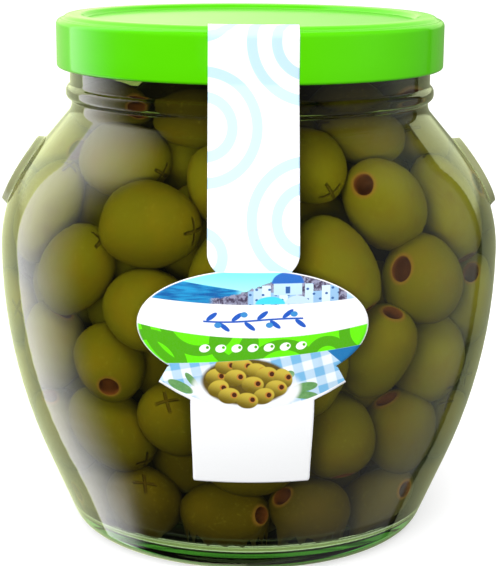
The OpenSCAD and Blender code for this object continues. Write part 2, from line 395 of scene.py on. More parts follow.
# The rings lie closer together over the medallions and the thread, and the points round the jar lie closer
# together over the medallions
medal_band = (95, 120)
thread_band = (137, 152)
ring_gap = 0.4
outer_rings = even(outer_line, 2.5)
outer_fine = []
for p, q in zip(outer_rings, outer_rings[1:]):
    busy = medal_band[0] < p[1] < medal_band[1] or thread_band[0] < p[1] < thread_band[1]
    outer_fine += even([p, q], ring_gap)[:-1] if busy else [p]
outer_fine.append(outer_line[-1])
glass_line = outer_fine + list(reversed(inner_line))[1:]
medal_half = math.radians(11.5)
fine = np.linspace(-medal_half, medal_half, 71)
coarse = np.linspace(medal_half, math.pi - medal_half, 66)[1:-1]
glass_azimuths = np.concatenate([fine, coarse, fine + math.pi, coarse + math.pi])
glass_points, glass_faces = turned(glass_line, list(glass_azimuths))
glass_points = np.array(glass_points) / MM
outer_count = len(outer_fine) * len(glass_azimuths)


def ease(value, low, high):
    t = np.clip((value - low) / (high - low), 0, 1)
    return t * t * (3 - 2 * t)


# Medallions: a round boss that follows the shoulder, with a rim round a slightly sunk face. Its
# lower edge runs out into the belly, where the jar is widest.
medal_r = 11.4
medal_x = 67.8
medal_z = 107.6
medal_rise = 2.0
medal_sunk = 0.8
medal_axis_up = math.radians(27)
widest = jar_high.x / MM - 0.1
for side in (1, -1):
    medal_axis = np.array([side * math.cos(medal_axis_up), 0, math.sin(medal_axis_up)])
    off = glass_points[:outer_count] - np.array([side * medal_x, 0, medal_z])
    along = off @ medal_axis
    off_axis = np.linalg.norm(off - along[:, None] * medal_axis, axis=1)
    near = (side * glass_points[:outer_count, 0] > 40) & (off_axis < medal_r + 2)
    face_rise = medal_rise - medal_sunk * ease(off_axis, 10.0, 8.9)
    raised = face_rise * ease(off_axis, medal_r + 0.3, medal_r - 0.7)
    spare = (widest - side * glass_points[:outer_count, 0]) / math.cos(medal_axis_up)
    lift = np.where(near, np.minimum(raised, np.maximum(spare, 0)), 0)
    glass_points[:outer_count] += lift[:, None] * medal_axis

# Thread: six short lugs, for those of a twist-off lid to slide under
thread_starts = 6
thread_arc = 44.0
thread_rise = 2.0
turn_deg = np.degrees(np.arctan2(glass_points[:, 1], glass_points[:, 0])) % (360 / thread_starts)
tall = glass_points[:, 2]
lug_band = ease(tall, 141.4, 142.2) * ease(tall, 144.2, 143.4)
lug_span = ease(turn_deg, 0.0, 3.0) * ease(turn_deg, thread_arc, thread_arc - 3.0)
lug_lift = np.where(np.arange(len(tall)) < outer_count, lug_band * lug_span * thread_rise, 0)
sideways = glass_points * [1, 1, 0]
sideways = sideways / np.maximum(np.linalg.norm(sideways, axis=1, keepdims=True), 1e-9)
glass_points = (glass_points + lug_lift[:, None] * sideways) * MM

glass_shader = Shader(bpy.data.materials.new("clear_glass"))
glass_spot = glass_shader.spot()
glass_ripple = glass_shader.noise(glass_spot, 22.0, 1.0)
glass_haze = glass_shader.noise(glass_spot, 140.0, 3.0)
glass_moulded = glass_shader.attribute("moulded")
glass_fold = glass_shader.bump(glass_ripple, 0.12 * MM, 0.5)
glass_tint = glass_shader.mix(glass_ripple, ink(243, 252, 244), ink(249, 254, 249))
glass_shade = glass_shader.add("ShaderNodeBsdfPrincipled", {}, {
    "Base Color": glass_tint, "Roughness": glass_haze * 0.02 + glass_moulded * 0.3, "IOR": 1.5,
    "Transmission Weight": 1.0, "Normal": glass_fold})
glass_depth = glass_shader.add("ShaderNodeVolumeAbsorption", {}, {
    "Color": ink(150, 222, 120), "Density": 30.0})
glass_matt = glass_shader.add("ShaderNodeBsdfPrincipled", {}, {
    "Base Color": ink(236, 240, 176), "Roughness": 0.5})
glass_face = glass_shader.add("ShaderNodeMixShader", {}, {
    0: glass_moulded * 0.3, 1: glass_shade, 2: glass_matt})
glass_shader.add("ShaderNodeOutputMaterial", {}, {"Surface": glass_face, "Volume": glass_depth})
jar = mesh_object("jar_glass", glass_points, glass_faces, glass_shader.owner)
jar.visible_shadow = False

# A matt share for the medallions, as their edges show black in wholly clear glass. It makes their
# faces paler and less clear than real glass is.
moulded = jar.data.attributes.new("moulded", "FLOAT", "POINT")
jar_points = np.zeros(len(jar.data.vertices) * 3)
jar.data.vertices.foreach_get("co", jar_points)
off = np.abs(jar_points.reshape(-1, 3)) / MM - np.array([medal_x, 0, medal_z])
along = off @ np.array([math.cos(medal_axis_up), 0, math.sin(medal_axis_up)])
off_axis = np.sqrt(np.maximum((off ** 2).sum(axis=1) - along ** 2, 0))
outer_skin = along > -3.0
moulded.data.foreach_set("value", ease(off_axis, medal_r + 1.0, medal_r) * outer_skin)
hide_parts("glass_jar")
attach(jar, "root")

# ---- brine --------------------------------------------------------------------------------------
# Salt water, faintly yellow-green from the olives, which fills the jar to just above the neck's
# bead. It reaches a hair into the glass all round, so that no gap shows between them.
brine_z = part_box("olives_in_brine")[1].z / MM
brine_press = 0.2
brine_r = bore_r + brine_press
brine_side = [p for p in beside(even(inner_line, 3.0), -brine_press) if 0.5 < p[0]]
brine_line = [(0, inner_floor_z - brine_press)] + [p for p in brine_side if p[1] < brine_z - 1.5]
brine_line += [(brine_r, brine_z - 1.2), (brine_r, brine_z), (bore_r - 0.8, brine_z - 0.6),
               (bore_r - 2.6, brine_z - 0.9), (0, brine_z - 1.0)]
brine_points, brine_faces = turned(brine_line, list(np.linspace(0, 2 * math.pi, 129)[:-1]))
brine_shader = Shader(bpy.data.materials.new("brine"))
brine_spot = brine_shader.spot()
brine_cloud = brine_shader.noise(brine_spot, 30.0, 2.0)
brine_tint = brine_shader.mix(brine_cloud, ink(244, 246, 214), ink(249, 250, 226))
brine_shade = brine_shader.add("ShaderNodeBsdfPrincipled", {}, {
    "Base Color": brine_tint, "Roughness": 0.0, "IOR": 1.35, "Transmission Weight": 1.0,
    "Specular IOR Level": 0.5})
brine_depth = brine_shader.add("ShaderNodeVolumeAbsorption", {}, {
    "Color": ink(196, 204, 108), "Density": 26.0})
brine_shader.add("ShaderNodeOutputMaterial", {}, {"Surface": brine_shade, "Volume": brine_depth})
brine = mesh_object("brine", brine_points, brine_faces, brine_shader.owner)
brine.visible_shadow = False
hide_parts("olives_in_brine")
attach(brine, "root")

# ---- olives -------------------------------------------------------------------------------------
# Large pitted green olives packed to the neck. Each has a round hole where the pit was pushed out
# and a cross-shaped cut at its other end. They press against the glass and against each other.
olive_long = 27.5
olive_wide = 22.0
dice = np.random.default_rng(11)
hole_r = 2.9

# Olives that lie against the front of the jar, each with the azimuth and height of its middle, the
# share of its half length by which its hole (1) or cross (-1) end lies to the right and up, whether
# that end faces the front, its length and how ripe it is
front_olives = [
    (-35, 113, 0.62, -0.26, -1, 27.5, 0.45), (-43, 91, 0.56, 0.62, -1, 27, 0.35),
    (-60, 104, 0.30, 0.90, -1, 27, 0.95), (-19, 96, 0.55, 0.80, 1, 29, 0.30),
    (-34, 73, -0.20, -0.42, 1, 25, 0.25), (-33, 47, 0.70, -0.55, -1, 27, 0.40),
    (-15, 53, -0.35, 0.40, -1, 26, 0.20), (-26, 24, -0.12, 0.72, -1, 26, 0.10),
    (-12, 113, 0.20, -0.30, -1, 26, 0.50), (-22, 128, 0.85, 0.20, -1, 25, 0.30),
    (20, 116, 0.55, -0.50, -1, 26, 0.40), (21, 94, 0.62, -0.75, 1, 29, 0.45),
    (39, 122, -0.86, 0.30, -1, 26, 0.35), (40, 101, -0.45, 0.62, 1, 27, 0.60),
    (59, 101, 0.30, -0.90, 1, 28, 0.80), (34, 74, 0.25, 0.92, 1, 27, 0.40),
    (55, 73, 0.10, 0.72, 1, 27, 0.70), (41, 49, -0.30, 0.90, 1, 27, 0.45),
    (22, 46, 0.20, -0.90, 1, 26, 0.35), (68, 38, 0.10, 0.70, -1, 24, 0.70),
    (40, 24, 0.85, 0.30, 1, 25, 0.25), (-7, 20, 0.90, 0.10, 1, 25, 0.10),
    (14, 21, -0.85, 0.20, 1, 25, 0.10), (-62, 42, -0.40, 0.85, 1, 26, 0.30),
    (0, 34, 0.95, 0.10, 1, 26, 0.20), (-58, 66, 0.20, 0.90, 1, 27, 0.50)]
olive_top = brine_z - 2.0
wall_line = np.array(even(inner_line[:-1] + [(bore_r, olive_top)], 0.8))
wall_in = np.array(beside([tuple(p) for p in wall_line], 1.0)) - wall_line


def wall_push(spot, radius):
    """How far a ball has to move to lie inside the jar and below the brine's surface."""
    r = np.hypot(spot[:, 0], spot[:, 1])
    away = np.stack([r, spot[:, 2]], axis=1)[:, None, :] - wall_line[None]
    nearest = np.argmin((away ** 2).sum(axis=2), axis=1)
    depth = (away[np.arange(len(r)), nearest] * wall_in[nearest]).sum(axis=1)
    short = np.maximum(radius - depth, 0)
    inward = short * wall_in[nearest, 0]
    push = np.zeros_like(spot)
    safe = np.maximum(r, 1e-6)
    push[:, 0] = spot[:, 0] / safe * inward
    push[:, 1] = spot[:, 1] / safe * inward
    push[:, 2] = short * wall_in[nearest, 1] - np.maximum(spot[:, 2] + radius - olive_top, 0)
    return push, depth


back_count = 104
total = len(front_olives) + back_count
middle = np.zeros((total, 3))
axis = dice.normal(size=(total, 3))
length = dice.uniform(0.93, 1.07, total) * olive_long
width = dice.uniform(0.95, 1.05, total) * olive_wide
ripe = np.clip(dice.normal(0.4, 0.22, total), 0, 1)
for i, (azimuth, height, right_share, up_share, end, long, tone) in enumerate(front_olives):
    a = math.radians(azimuth)
    out_share = math.sqrt(max(0.0, 1 - right_share ** 2 - up_share ** 2))
    pointing = np.array([right_share, -out_share, up_share])
    axis[i] = end * pointing
    length[i] = long
    width[i] = long * 0.81
    ripe[i] = tone
    outward = np.array([math.sin(a), -math.cos(a), 0])
    lean = pointing @ outward
    reach = math.hypot(long / 2 * lean, width[i] / 2 * math.sqrt(max(0, 1 - lean * lean)))
    wall_here = np.interp(height, wall_line[8:, 1], wall_line[8:, 0])
    middle[i] = outward * (wall_here - reach - 0.4) + [0, 0, height]
spread = dice.uniform(0, 2 * math.pi, back_count)
high = dice.uniform(18, 132, back_count)
room = np.interp(high, wall_line[8:, 1], wall_line[8:, 0])
out = room - dice.uniform(11, 30, back_count)
middle[len(front_olives):] = np.stack([out * np.cos(spread), out * np.sin(spread), high], axis=1)
axis /= np.linalg.norm(axis, axis=1, keepdims=True)

# Each olive is three balls in a row, and the balls push one another and the wall apart. The olives
# at the front give way less and are drawn back to their places at first.
settle_turns = 420
sink_turns = 300
tied_turns = 100
front_loose = 0.12
wall_room = 0.9
deepest = 29.0
loose = np.ones(total)
loose[:len(front_olives)] = front_loose
owner = np.repeat(np.arange(total), 3)
share = np.tile([-1.0, 0.0, 1.0], total)
tip_r = width * 0.42
ball_r = np.where(share == 0, width[owner] / 2, tip_r[owner])
anchor = middle.copy()
for turn in range(settle_turns):
    arm = (length / 2 - tip_r)[owner] * share
    ball = middle[owner] + axis[owner] * arm[:, None]
    gap = ball[:, None, :] - ball[None]
    far = np.sqrt((gap ** 2).sum(axis=2)) + 1e-9
    overlap = np.maximum(ball_r[:, None] + ball_r[None] - far, 0)
    overlap[owner[:, None] == owner[None]] = 0
    weight = loose[owner][:, None] / (loose[owner][:, None] + loose[owner][None])
    move = ((overlap * weight / far)[:, :, None] * gap).sum(axis=1)
    push, depth = wall_push(ball, ball_r + wall_room)
    sunk = np.maximum(depth - deepest, 0)
    radial = ball * [1, 1, 0]
    radial = radial / np.maximum(np.linalg.norm(radial, axis=1, keepdims=True), 1e-6)
    move = move * 0.5 + push + sunk[:, None] * radial * 0.3
    step = np.zeros_like(middle)
    np.add.at(step, owner, move / 2)
    step[:, 2] -= 0.04 * (turn < sink_turns)
    middle += np.clip(step, -2.5, 2.5)
    twist = np.zeros_like(middle)
    np.add.at(twist, owner, move * share[:, None])
    axis += twist * (loose / (length / 2))[:, None] * 0.4
    axis /= np.linalg.norm(axis, axis=1, keepdims=True)
    middle += (anchor - middle) * (0.08 * (loose < 0.5) * (turn < tied_turns))[:, None]


def olive_shape(kind, fat, lop, bow):
    """One olive along X: a lopsided barrel, a round hole in its +X end, closed at the other."""
    around = 24
    ends = np.linspace(math.pi, 0.0, 19)
    half = olive_long / 2
    skin = [(half * math.cos(t), olive_wide / 2 * fat * math.sin(t) ** 0.92 * (1 + lop * math.cos(t)))
            for t in ends]
    skin = [(x, r) for x, r in skin if x < 0 or r > hole_r + 0.8]
    mouth = skin[-1][0]
    bore = [(mouth + 0.35, hole_r + 0.4), (mouth + 0.2, hole_r), (mouth - 1.2, hole_r - 0.25),
            (mouth - 4.0, hole_r - 0.1), (mouth - 7.0, hole_r - 0.5), (mouth - 8.0, 0.0)]
    points, faces = [], []
    line = [(skin[0][0], 0.0)] + skin[1:] + bore
    for x, r in line:
        for k in range(around):
            a = 2 * math.pi * k / around
            dent = 1 + 0.02 * math.sin(2 * a + kind) + 0.015 * math.sin(3 * a + 2 * kind + x / 6)
            points.append((x * MM, (r * math.cos(a) * dent + bow * (1 - (x / half) ** 2)) * MM,
                           r * math.sin(a) * dent * MM))
    for i in range(len(line) - 1):
        for k in range(around):
            n = (k + 1) % around
            quad = (i * around + k, i * around + n, (i + 1) * around + n, (i + 1) * around + k)
            if i == 0:
                quad = (0, quad[2], quad[3])
            elif i == len(line) - 2:
                quad = (quad[0], quad[1], (i + 1) * around)
            faces.append(quad)
    thing = mesh_object("olive_kind_%d" % kind, points, faces, None)
    spot = thing.data.attributes.new("spot", "FLOAT_VECTOR", "POINT")
    values = np.zeros(len(thing.data.vertices) * 3)
    thing.data.vertices.foreach_get("co", values)
    spot.data.foreach_set("vector", values / MM)
    deep = thing.data.attributes.new("deep", "FLOAT", "POINT")
    x, y, z = values.reshape(-1, 3).T / MM
    off_axis = np.hypot(y - bow * (1 - (x / half) ** 2), z)
    deep.data.foreach_set("value", ((x > 0) & (off_axis < hole_r + 0.25)).astype(float))
    return thing


shape_facts = [(1.00, 0.05, 0.3), (0.95, -0.06, 0.6), (1.04, 0.02, 0.0), (0.98, 0.10, 0.4),
               (1.02, -0.03, 0.8)]
shapes = [olive_shape(kind, *facts) for kind, facts in enumerate(shape_facts)]

olive_shader = Shader(bpy.data.materials.new("olive_flesh"))
olive_spot = olive_shader.spot()
olive_own = olive_shader.attribute("spot", "Vector")
place_z = olive_shader.axes(olive_spot)[2]
olive_tone = olive_shader.attribute("tone")
olive_deep = olive_shader.attribute("deep")
own_x, own_y, own_z = olive_shader.axes(olive_own)
mottle = olive_shader.noise(olive_spot, 90.0, 3.0, 0.6)
speck = olive_shader.noise(olive_spot, 900.0, 2.0)
skin_green = olive_shader.mix(olive_tone, ink(115, 102, 5), ink(152, 140, 24))
skin_warm = olive_shader.mix(mottle.rise(0.35, 0.75), skin_green, ink(134, 112, 9))
# Painted shade: the skin is mixed darker and browner towards the bottom of the jar.
skin_low_shade = olive_shader.mix(place_z.rise(0.075, 0.012) * 0.75, skin_warm, ink(80, 58, 2))
# Painted shadow: the olives up in the neck, under the lid, are mixed darker.
skin_lid_shadow = olive_shader.mix(place_z.rise(0.112, 0.130) * 0.8, skin_low_shade, ink(62, 48, 3))
skin_speck = olive_shader.mix(speck.rise(0.60, 0.72) * 0.15, skin_lid_shadow, ink(170, 156, 54))
ring_r = (own_y * own_y + own_z * own_z).root()
lip = own_x.rise(7.0, 11.5) * ring_r.rise(4.6, 3.2)
skin_lip = olive_shader.mix(lip * 0.75, skin_speck, ink(164, 112, 44))
skin_bore = olive_shader.mix(olive_deep, skin_lip, ink(120, 64, 26))
cross = (abs(own_y) & abs(own_z)).rise(0.6, 0.2) * ring_r.rise(3.9, 2.8) * own_x.rise(-7.0, -9.0)
skin_cut = olive_shader.mix(cross * 0.6, skin_bore, ink(76, 50, 10))
olive_relief = mottle * 0.5 + speck * 0.08 - cross * 2.5
olive_normal = olive_shader.bump(olive_relief, 0.5 * MM, 0.8)
olive_skin = olive_shader.surface(olive_shader.add("ShaderNodeBsdfPrincipled", {}, {
    "Base Color": skin_cut, "Roughness": 0.42 + mottle * 0.2, "Specular IOR Level": 0.12,
    "Normal": olive_normal}))

places = bpy.data.meshes.new("olive_places")
places.from_pydata([tuple(p * MM) for p in middle], [], [])
turns = np.zeros((total, 3))
for i in range(total):
    spin = Matrix.Rotation(dice.uniform(0, 2 * math.pi), 4, "X")
    point = Vector(axis[i]).to_track_quat("X", "Z").to_matrix().to_4x4()
    turns[i] = (point @ spin).to_euler()
turn_list = places.attributes.new("turn", "FLOAT_VECTOR", "POINT")
turn_list.data.foreach_set("vector", turns.ravel())
size_list = places.attributes.new("size", "FLOAT_VECTOR", "POINT")
size_list.data.foreach_set("vector", np.stack([length / olive_long, width / olive_wide,
                                               width / olive_wide], axis=1).ravel())
tone_list = places.attributes.new("tone", "FLOAT", "POINT")
tone_list.data.foreach_set("value", ripe)
kind_list = places.attributes.new("kind", "INT", "POINT")
kind_list.data.foreach_set("value", dice.integers(0, len(shapes), total).astype(np.int32))
heap = bpy.data.objects.new("olive_heap", places)
bpy.context.scene.collection.objects.link(heap)


class Recipe(Nodes):
    """A Geometry Nodes tree with named inputs."""

    def __init__(self, name, inputs):
        super().__init__(bpy.data.node_groups.new(name, "GeometryNodeTree"))
        self.names = {}
        for label, kind in [("Geometry", "NodeSocketGeometry")] + inputs:
            socket = self.tree.interface.new_socket(label, in_out="INPUT", socket_type=kind)
            self.names[label] = socket.identifier
        self.tree.interface.new_socket("Geometry", in_out="OUTPUT", socket_type="NodeSocketGeometry")
        self.start = self.tree.nodes.new("NodeGroupInput")
        self.end = self.tree.nodes.new("NodeGroupOutput")

    def take(self, label):
        return Term(self.tree, self.start.outputs[label])

    def read(self, label, kind):
        return self.add("GeometryNodeInputNamedAttribute", {"data_type": kind}, {"Name": label})

    def make(self, thing, values):
        """Runs the tree on an object and leaves a plain mesh."""
        modifier = thing.modifiers.new("recipe", "NODES")
        modifier.node_group = self.tree
        for label, value in values.items():
            modifier[self.names[label]] = value
        thing.update_tag()
        bpy.context.view_layer.update()
        done = thing.evaluated_get(bpy.context.evaluated_depsgraph_get())
        plain = bpy.data.meshes.new_from_object(done)
        thing.modifiers.clear()
        thing.data = plain
        return thing


heap_inputs = [("Kind %d" % i, "NodeSocketObject") for i in range(len(shapes))]
heap_inputs += [("Lump Scale", "NodeSocketFloat"), ("Lump Depth", "NodeSocketFloat")]
heap_recipe = Recipe("olive_heap", heap_inputs + [("Skin", "NodeSocketMaterial")])
kinds = heap_recipe.add("GeometryNodeJoinGeometry", {}, {})
for i in reversed(range(len(shapes))):
    shape = heap_recipe.add("GeometryNodeObjectInfo", {}, {
        "Object": heap_recipe.take("Kind %d" % i), "As Instance": True}, "Geometry")
    plug(heap_recipe.tree, shape, kinds.socket.node.inputs[0])
heap_turn = heap_recipe.add("FunctionNodeEulerToRotation", {}, {
    0: heap_recipe.read("turn", "FLOAT_VECTOR")})
heap_set = heap_recipe.add("GeometryNodeInstanceOnPoints", {}, {
    "Points": heap_recipe.take("Geometry"), "Instance": kinds, "Pick Instance": True,
    "Instance Index": heap_recipe.read("kind", "INT"), "Rotation": heap_turn,
    "Scale": heap_recipe.read("size", "FLOAT_VECTOR")})
heap_real = heap_recipe.add("GeometryNodeRealizeInstances", {}, {"Geometry": heap_set})
heap_spot = heap_recipe.add("GeometryNodeInputPosition", {}, {})
heap_noise = heap_recipe.add("ShaderNodeTexNoise", {}, {
    "Vector": heap_spot, "Scale": heap_recipe.take("Lump Scale"), "Detail": 1.0})
heap_lump = (heap_noise - 0.5) * heap_recipe.take("Lump Depth")
heap_out = heap_recipe.add("ShaderNodeVectorMath", {"operation": "SCALE"}, {
    0: heap_recipe.add("GeometryNodeInputNormal", {}, {}), "Scale": heap_lump})
heap_moved = heap_recipe.add("GeometryNodeSetPosition", {}, {"Geometry": heap_real, "Offset": heap_out})
heap_smooth = heap_recipe.add("GeometryNodeSetShadeSmooth", {}, {"Geometry": heap_moved})
heap_done = heap_recipe.add("GeometryNodeSetMaterial", {}, {
    "Geometry": heap_smooth, "Material": heap_recipe.take("Skin")})
plug(heap_recipe.tree, heap_done, heap_recipe.end.inputs[0])
heap_values = {"Kind %d" % i: shape for i, shape in enumerate(shapes)}
heap_values.update({"Lump Scale": 85.0, "Lump Depth": 1.6 * MM, "Skin": olive_skin})
heap = heap_recipe.make(heap, heap_values)

# Where an olive presses on the glass it is flattened, so none reaches into the wall
skin_room = 0.35
batch = 8000
skin_points = np.zeros(len(heap.data.vertices) * 3)
heap.data.vertices.foreach_get("co", skin_points)
skin_points = skin_points.reshape(-1, 3) / MM
for part in range(0, len(skin_points), batch):
    push, depth = wall_push(skin_points[part:part + batch], skin_room)
    skin_points[part:part + batch] += push
heap.data.vertices.foreach_set("co", (skin_points * MM).ravel())
heap.data.update()
for shape in shapes:
    bpy.data.objects.remove(shape)
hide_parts("olives_in_brine")
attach(heap, "root")

# The middle of the heap, which nobody sees: a dark lumpy core behind the outer olives. Its near-black olive
# colour is painted shade, standing in for the shaded olives in the middle.
core_gap = 27.0
core_low = 34
core_high = 118
core_side = [p for p in beside([p for p in inner_line if p[0] > 45], core_gap) if p[0] > 6]
core_side = [p for p in core_side if core_low + 2 < p[1] < core_high - 10]
core_foot = [(0, core_low), (core_side[0][0] - 6, core_low)]
core_head = [(core_side[-1][0] - 5, core_high), (0, core_high)]
core_line = even(core_foot + core_side + core_head, 4)
core_points, core_faces = turned(core_line, list(np.linspace(0, 2 * math.pi, 61)[:-1]))
core_points = np.array(core_points)
lumps = (np.sin(core_points[:, 0] / (5 * MM)) + np.sin(core_points[:, 1] / (5 * MM) + 1)
         + np.sin(core_points[:, 2] / (6 * MM)))
core_points *= 1 + (0.025 * lumps)[:, None] * [1, 1, 0]
core_shader = Shader(bpy.data.materials.new("olive_shade"))
core_spot = core_shader.spot()
core_cloud = core_shader.noise(core_spot, 60.0, 3.0)
core_shade_colour = core_shader.mix(core_cloud, ink(26, 24, 6), ink(62, 56, 14))
core_skin = core_shader.surface(core_shader.add("ShaderNodeBsdfPrincipled", {}, {
    "Base Color": core_shade_colour, "Roughness": 0.6, "Specular IOR Level": 0.1,
    "Normal": core_shader.bump(core_cloud, 1.0 * MM)}))
core = mesh_object("olive_core", core_points, core_faces, core_skin)
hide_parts("olives_in_brine")
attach(core, "root")

# ---- lid ----------------------------------------------------------------------------------------
# A twist-off cap pressed from thin steel and enamelled bright green, with a sunk panel, a raised
# crest round it, a crease above the skirt and a rolled lower edge.
lid_low, lid_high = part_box("lid")
lid_top = lid_high.z / MM
lid_r = lid_high.y / MM
lid_foot = lid_low.z / MM
steel = 0.3
curl_r = 0.9
lid_panel_z = lid_top - 1.3
lid_corners = [[0, lid_panel_z, 0], [48.1, lid_panel_z, 0.5], [49.4, lid_top, 0.7], [53.6, lid_top, 0.7],
               [54.95, lid_top - 1.1, 0.5], [lid_r, lid_top - 1.5, 1.3], [lid_r, lid_foot + curl_r, 0]]
lid_out = even(rounded(lid_corners), 4.0)
lid_back = [(max(r, 0), z) for r, z in beside(lid_out, -steel)]
lid_back[0] = (0, lid_panel_z - steel)
lid_curl = [(lid_r - curl_r + curl_r * math.cos(a), lid_foot + curl_r + curl_r * math.sin(a))
            for a in np.linspace(0, -1.62 * math.pi, 18)]
lid_line = lid_out[:-1] + lid_curl + [(lid_r - steel, lid_foot + 2.6 * curl_r)]
lid_line += list(reversed(lid_back))[1:]
lid_points, lid_faces = turned(lid_line, list(np.linspace(0, 2 * math.pi, 181)[:-1]))
lid_shader = Shader(bpy.data.materials.new("green_enamel"))
lid_spot = lid_shader.spot()
lid_peel = lid_shader.noise(lid_spot, 1400.0, 2.0)
lid_cloud = lid_shader.noise(lid_spot, 35.0, 3.0)
lid_green = lid_shader.mix(lid_cloud, ink(80, 198, 0), ink(87, 205, 1))
lid_z = lid_shader.axes(lid_spot)[2]
# Painted sheen: the top of the crest is mixed a paler green, standing in for the glancing reflection there.
top_sheen = lid_z.rise((lid_top - 0.6) * MM, lid_top * MM)
lid_colour = lid_shader.mix(top_sheen * 0.35, lid_green, ink(120, 236, 30))
lid_paint = lid_shader.surface(lid_shader.add("ShaderNodeBsdfPrincipled", {}, {
    "Base Color": lid_colour, "Roughness": 0.40 + lid_cloud * 0.08, "Coat Weight": 0.5,
    "Coat Roughness": 0.10, "Specular IOR Level": 0.05,
    "Normal": lid_shader.bump(lid_peel, 0.02 * MM, 0.6)}))
lid = mesh_object("lid_shell", lid_points, lid_faces, lid_paint)
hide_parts("lid")
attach(lid, "root")

# ---- label --------------------------------------------------------------------------------------
# One sheet of coated white paper, cut to an outline: a strip that runs from the lid down the neck as
# a seal, an oval with a printed sea view and a green band, a tablecloth, and a blank lower panel.
glue = 0.05
paper = 0.25
strip_half = 12.0
oval_half_w = 30.5
oval_half_h = 15.8
oval_z = 77.2
strip_foot = 91.0
strip_fillet = 6.0
cloth_heights = [57.0, 58.6, 61.4, 66.0]
cloth_halves = [16.4, 19.8, 24.8, 22.4]
panel_half = 15.8
panel_corner = 1.6
panel_bow = 0.6
label_low, label_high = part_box("label")
panel_z = label_low.z / MM
strip_start = -label_high.y / MM


def face_line(gap):
    over = beside(even(rounded(lid_corners, 12.0), 1.5), gap)
    over = [p for p in over if p[0] > strip_start - 0.5 and p[1] > lid_foot + curl_r]
    down = beside(even(body_line, 0.8), -gap)
    hang = (lid_r + gap, lid_foot + 0.2)
    slopes = [(math.atan2(r - hang[0], hang[1] - z), k) for k, (r, z) in enumerate(down) if 60 < z < 125]
    touch = max(slopes)[1]
    straight = even([hang, down[touch]], 1.0)
    body = [p for p in reversed(down[:touch]) if p[1] > panel_z - 1.5]
    return over + straight + body


def half_width(z):
    """Half the label's width, seen from the front, at a height below the strip's top."""
    wide = [0.0]
    fillet_up = strip_foot + strip_fillet - z
    if fillet_up < 0:
        wide.append(strip_half)
    elif z > strip_foot:
        wide.append(strip_half - strip_fillet + math.sqrt(max(0.0, strip_fillet ** 2 - fillet_up ** 2)))
    tall = (z - oval_z) / oval_half_h
    if abs(tall) < 1:
        wide.append(oval_half_w * math.sqrt(1 - tall * tall))
    wide.append(np.interp(z, cloth_heights, cloth_halves, left=0, right=0))
    if z <= cloth_heights[1]:
        bow = panel_bow * ease(z, panel_z, panel_z + 24)
        down = max(0.0, panel_z + panel_corner - z)
        corner = panel_corner - math.sqrt(max(0.0, panel_corner ** 2 - down ** 2))
        wide.append(panel_half + float(bow) - corner)
    return max(wide)


front_face = face_line(glue + paper)
back_face = face_line(glue)


def resampled(line, count):
    line = np.array(line)
    run = np.concatenate([[0], np.cumsum(np.linalg.norm(np.diff(line, axis=0), axis=1))])
    at = np.linspace(0, run[-1], count)
    return np.stack([np.interp(at, run, line[:, 0]), np.interp(at, run, line[:, 1])], axis=1)


rows = 380
columns = 40
label_points = []
label_uv = []
for face in (front_face, back_face):
    line = resampled([p for p in face if p[1] >= panel_z], rows)
    run = np.concatenate([[0], np.cumsum(np.linalg.norm(np.diff(line, axis=0), axis=1))])
    turn_at = int(np.argmax(line[:, 0] > lid_r - 1))
    for i, (r, z) in enumerate(line):
        height = z if i > turn_at else line[turn_at, 1] + run[turn_at] - run[i]
        half = half_width(z) if z < 130 else strip_half
        for k in range(columns + 1):
            x = half * (2 * k / columns - 1)
            label_points.append((x * MM, -math.sqrt(max(r * r - x * x, 0)) * MM, z * MM))
            label_uv.append((x, height))
label_faces = []
span = columns + 1
back_at = rows * span
for i in range(rows - 1):
    for k in range(columns):
        quad = (i * span + k, i * span + k + 1, (i + 1) * span + k + 1, (i + 1) * span + k)
        label_faces.append(quad)
        label_faces.append(tuple(back_at + v for v in reversed(quad)))
edge = [k for k in range(span)] + [i * span + columns for i in range(1, rows)]
edge += [(rows - 1) * span + k for k in range(columns - 1, -1, -1)]
edge += [i * span for i in range(rows - 2, 0, -1)]
for k in range(len(edge)):
    n = edge[(k + 1) % len(edge)]
    label_faces.append((edge[k], n, back_at + n, back_at + edge[k]))

label_shader = Shader(bpy.data.materials.new("label_paper"))
print_uv = label_shader.add("ShaderNodeUVMap", {"uv_map": "print"}, {}, "UV")
u, v = label_shader.axes(print_uv)[:2]
label_spot = label_shader.spot()


def dot(u0, v0, wide, high, tilt=0.0, soft=0.06):
    """A soft-edged oval spot of the given half sizes, in few nodes, as one material holds so many."""
    c, s = math.cos(math.radians(tilt)), math.sin(math.radians(tilt))
    along = u.times_plus(c / wide, v.times_plus(s / wide, -(u0 * c + v0 * s) / wide))
    across = v.times_plus(c / high, u.times_plus(-s / high, (u0 * s - v0 * c) / high))
    return along.times_plus(along, across * across).rise(1 + 2 * soft, 1 - 2 * soft)


def ring(u0, v0, radius, half):
    """A soft-edged round band."""
    du, dv = u - u0, v - v0
    return abs(du.times_plus(du, dv * dv).root() - radius).rise(half + 0.12, half - 0.12)


def bar(coordinate, low, high, soft=0.08):
    return coordinate.rise(low - soft, low + soft) * coordinate.rise(high + soft, high - soft)


def cover(under, mask, colour):
    return label_shader.mix(mask, under, colour)


def any_of(masks):
    """Covers where at least one of the masks does."""
    whole = masks[0]
    for mask in masks[1:]:
        whole = whole | mask
    return whole


white = ink(250, 251, 252)
arcs = any_of([ring(u0, v0, radius, 1.4) for u0, v0, radius in [
    (15.0, 150.0, 9.0), (15.0, 150.0, 15.5), (-13.0, 128.0, 7.5), (-13.0, 128.0, 14.0), (14.0, 105.0, 8.0),
    (14.0, 105.0, 14.5), (-14.0, 96.0, 6.0), (-14.0, 160.0, 9.0)]])
oval = dot(0, oval_z, oval_half_w - 0.25, oval_half_h - 0.25, 0, 0.01)
printed = cover(white, arcs * (1.0 - oval) * v.rise(92.0, 92.3), ink(190, 220, 240))

